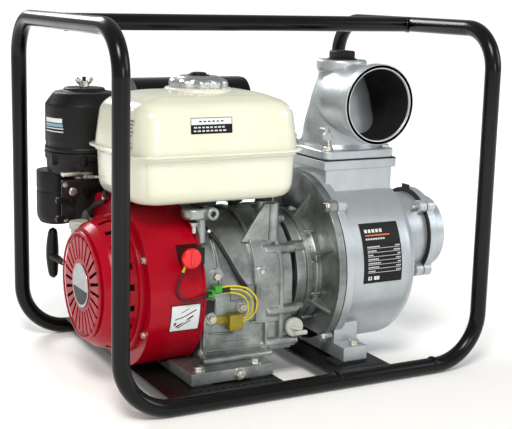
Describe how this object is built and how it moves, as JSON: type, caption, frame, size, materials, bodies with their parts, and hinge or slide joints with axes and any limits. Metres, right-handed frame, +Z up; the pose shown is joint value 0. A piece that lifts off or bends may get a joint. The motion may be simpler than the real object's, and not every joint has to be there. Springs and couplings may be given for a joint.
{
  "type": "gas engine water pump",
  "caption": "Portable engine-driven centrifugal water pump in a tubular carrying frame, with recoil starter, fuel tank and two threaded ports.",
  "frame": {"origin": "on the floor, under the middle of the carrying frame", "axes": "+X along the crankshaft towards the suction port, +Y towards the muffler side, +Z up"},
  "size_m": [0.6504, 0.4794, 0.561],
  "materials": {
    "frame_black": "gloss powder coat",
    "plate_black": "satin paint",
    "rubber_black": "matte",
    "cast_aluminium": "as cast",
    "pump_aluminium": "blasted casting with clear coat",
    "gasket_brown": "fibre",
    "machined_steel": "zinc plated",
    "dark_iron": "as cast",
    "housing_red": "gloss enamel",
    "tank_cream": "gloss enamel",
    "black_plastic": "moulded",
    "rope_white": "braided",
    "bright_chrome": "plated",
    "filter_foam": "foam",
    "knob_red": "moulded",
    "zinc_gold": "yellow zinc",
    "wire_insulation": "vinyl",
    "grey_plastic": "moulded",
    "ceramic_seal": "lapped",
    "label_black": "printed plate"
  },
  "bodies": {
    "root": {"left_hoop": "frame_black", "right_hoop": "frame_black", "bottom_rails": "frame_black", "lifting_bar": "frame_black", "cross_plates": "plate_black", "rubber_mounts": "rubber_black", "crankcase": "cast_aluminium", "side_cover": "cast_aluminium", "cover_gasket": "gasket_brown", "crank_bearings": "machined_steel", "shaft_seals": "rubber_black", "crank_throw": "machined_steel", "connecting_rod": "cast_aluminium", "piston": "cast_aluminium", "cylinder_head": "cast_aluminium", "valve_cover": "cast_aluminium", "spark_plug": "rubber_black", "fan_housing": "housing_red", "recoil_cover": "housing_red", "tank_lower": "tank_cream", "tank_upper": "tank_cream", "carburetor": "cast_aluminium", "intake_pipe": "black_plastic", "air_cleaner_base": "black_plastic", "air_filter_element": "filter_foam", "control_plate": "machined_steel", "muffler": "dark_iron", "muffler_guard": "frame_black", "exhaust_pipe": "dark_iron", "engine_switch": "black_plastic", "oil_alert_unit": "zinc_gold", "wire_leads": "wire_insulation", "hoses": "rubber_black", "fasteners": "machined_steel", "pump_bracket": "cast_aluminium", "pump_casing": "pump_aluminium", "pump_gaskets": "rubber_black", "volute": "dark_iron", "discharge_elbow": "pump_aluminium", "suction_flange": "pump_aluminium", "label_plates": "label_black"},
    "crank": {"crankshaft": "machined_steel", "flywheel_fan": "dark_iron", "impeller": "dark_iron", "seal_rotor": "ceramic_seal"},
    "cam": {"camshaft": "dark_iron"},
    "reel": {"recoil_reel": "black_plastic"},
    "pull_handle": {"recoil_handle": "black_plastic", "starter_rope": "rope_white"},
    "cap_seal_ring": {"cap_seal": "rubber_black"},
    "tank_cap": {"fuel_cap": "bright_chrome"},
    "cleaner_cover": {"air_cleaner_cover": "black_plastic"},
    "cleaner_nut": {"wing_nut": "machined_steel"},
    "throttle": {"throttle_lever": "black_plastic"},
    "choke": {"choke_lever": "black_plastic"},
    "fuel_valve": {"fuel_lever": "black_plastic"},
    "stop_switch": {"switch_knob": "knob_red"},
    "filler_cap": {"oil_filler_cap": "grey_plastic"},
    "prime_plug": {"priming_plug": "black_plastic"},
    "check_valve": {"check_valve_flap": "rubber_black"}
  },
  "joints": [
    {"name": "crank_spin", "type": "hinge", "parent": "root", "child": "crank", "pos_m": [0, -0.05, 0.157], "axis": [1, 0, 0], "continuous": true},
    {"name": "cam_spin", "type": "hinge", "parent": "root", "child": "cam", "pos_m": [-0.1, -0.05, 0.091], "axis": [1, 0, 0], "continuous": true},
    {"name": "handle_pull", "type": "slide", "parent": "root", "child": "pull_handle", "axis": [0, 1, 0], "range_m": [0, 0.85], "stiffness_N_per_m": 15, "springref_m": -0.6},
    {"name": "reel_spin", "type": "hinge", "parent": "root", "child": "reel", "pos_m": [-0.285, -0.05, 0.158], "axis": [1, 0, 0], "range_deg": [-890, 0]},
    {"name": "fuel_cap_lift", "type": "slide", "parent": "root", "child": "cap_seal_ring", "axis": [0, 0, 1], "range_m": [0, 0.05]},
    {"name": "fuel_cap_turn", "type": "hinge", "parent": "cap_seal_ring", "child": "tank_cap", "pos_m": [-0.12, -0.06, 0.458], "axis": [0, 0, 1], "range_deg": [0, 90]},
    {"name": "cleaner_cover_lift", "type": "slide", "parent": "root", "child": "cleaner_cover", "axis": [0, 0, 1], "range_m": [0, 0.13]},
    {"name": "wing_nut_turn", "type": "hinge", "parent": "cleaner_cover", "child": "cleaner_nut", "pos_m": [-0.234, 0.13, 0.445], "axis": [0, 0, 1], "continuous": true},
    {"name": "throttle_swing", "type": "hinge", "parent": "root", "child": "throttle", "pos_m": [-0.226, 0.074, 0.286], "axis": [0, 1, 0], "range_deg": [-25, 15]},
    {"name": "choke_swing", "type": "hinge", "parent": "root", "child": "choke", "pos_m": [-0.276, 0.074, 0.262], "axis": [0, 1, 0], "range_deg": [-20, 20]},
    {"name": "fuel_valve_swing", "type": "hinge", "parent": "root", "child": "fuel_valve", "pos_m": [-0.276, 0.074, 0.24], "axis": [0, 1, 0], "range_deg": [-20, 20]},
    {"name": "stop_switch_turn", "type": "hinge", "parent": "root", "child": "stop_switch", "pos_m": [-0.187, -0.185, 0.218], "axis": [0, -1, 0], "range_deg": [0, 90]},
    {"name": "filler_cap_turn", "type": "hinge", "parent": "root", "child": "filler_cap", "pos_m": [0.006, -0.155, 0.084], "axis": [0, -1, 0], "continuous": true},
    {"name": "priming_plug_turn", "type": "hinge", "parent": "root", "child": "prime_plug", "pos_m": [0.144, -0.05, 0.49], "axis": [0, 0, 1], "continuous": true},
    {"name": "check_valve_swing", "type": "hinge", "parent": "root", "child": "check_valve", "pos_m": [0.2806, -0.05, 0.246], "axis": [0, 1, 0], "range_deg": [0, 60]}
  ],
  "couplings": [
    {"joint": "cam_spin", "follows": "crank_spin", "ratio": -0.5},
    {"joint": "reel_spin", "follows": "handle_pull", "rad_per_m": -18.18}
  ]
}
